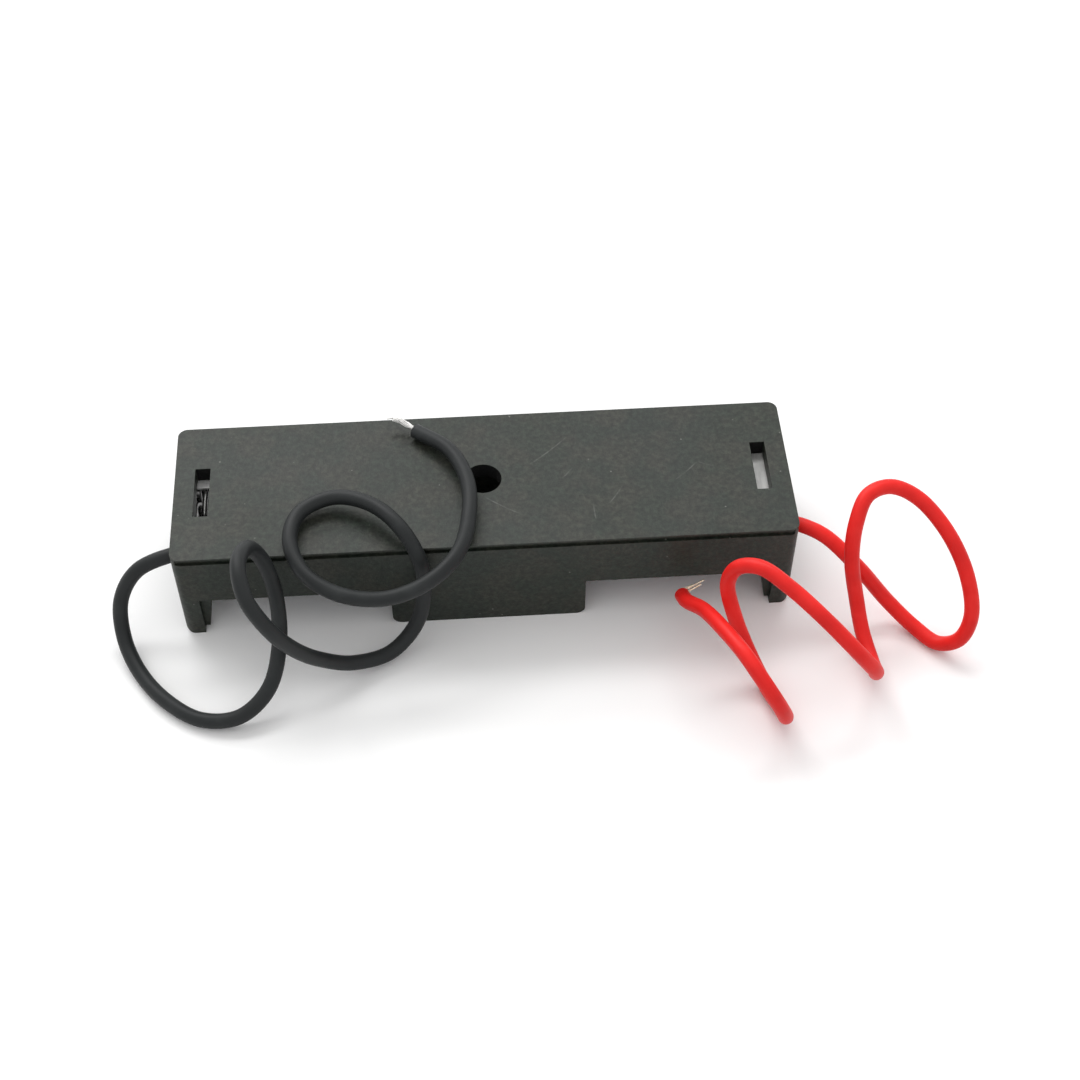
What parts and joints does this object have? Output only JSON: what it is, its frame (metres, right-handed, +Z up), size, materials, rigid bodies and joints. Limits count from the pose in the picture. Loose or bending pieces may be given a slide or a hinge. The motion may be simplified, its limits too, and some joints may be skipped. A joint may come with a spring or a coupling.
{
  "type": "cell holder",
  "caption": "Open-sided holder for one round cell, with a spring contact, a flat contact, a slotted base with a screw hole and two free wire leads.",
  "frame": {"origin": "centre of the housing's footprint on the plane it rests on, open side down", "axes": "+X along the cell from the spring contact to the flat contact, +Z up through the flat base, the pictured front is -Y"},
  "size_m": [0.107, 0.043, 0.0227],
  "materials": {
    "housing_plastic": "fine matte moulded black plastic",
    "nickel_plate": "nickel-plated sheet",
    "spring_wire": "nickel-plated spring wire",
    "solder": "dull solder",
    "conductor": "tinned copper strands",
    "black_jacket": "satin flexible insulation",
    "red_jacket": "satin flexible insulation"
  },
  "bodies": {
    "holder": {"housing": "housing_plastic", "negative_contact_plate": "nickel_plate", "negative_solder_joint": "solder", "negative_lead_core": "conductor", "negative_lead": "black_jacket", "negative_lead_strands": "conductor", "positive_contact_plate": "nickel_plate", "positive_solder_joint": "solder", "positive_lead_core": "conductor", "positive_lead": "red_jacket", "positive_lead_strands": "conductor"},
    "contact_spring": {"negative_spring": "spring_wire"}
  },
  "joints": [
    {"name": "spring_compression", "type": "slide", "parent": "holder", "child": "contact_spring", "axis": [-1, 0, 0], "range_m": [0, 0.006], "stiffness_N_per_m": 800, "deforming": ["negative_spring"]}
  ]
}
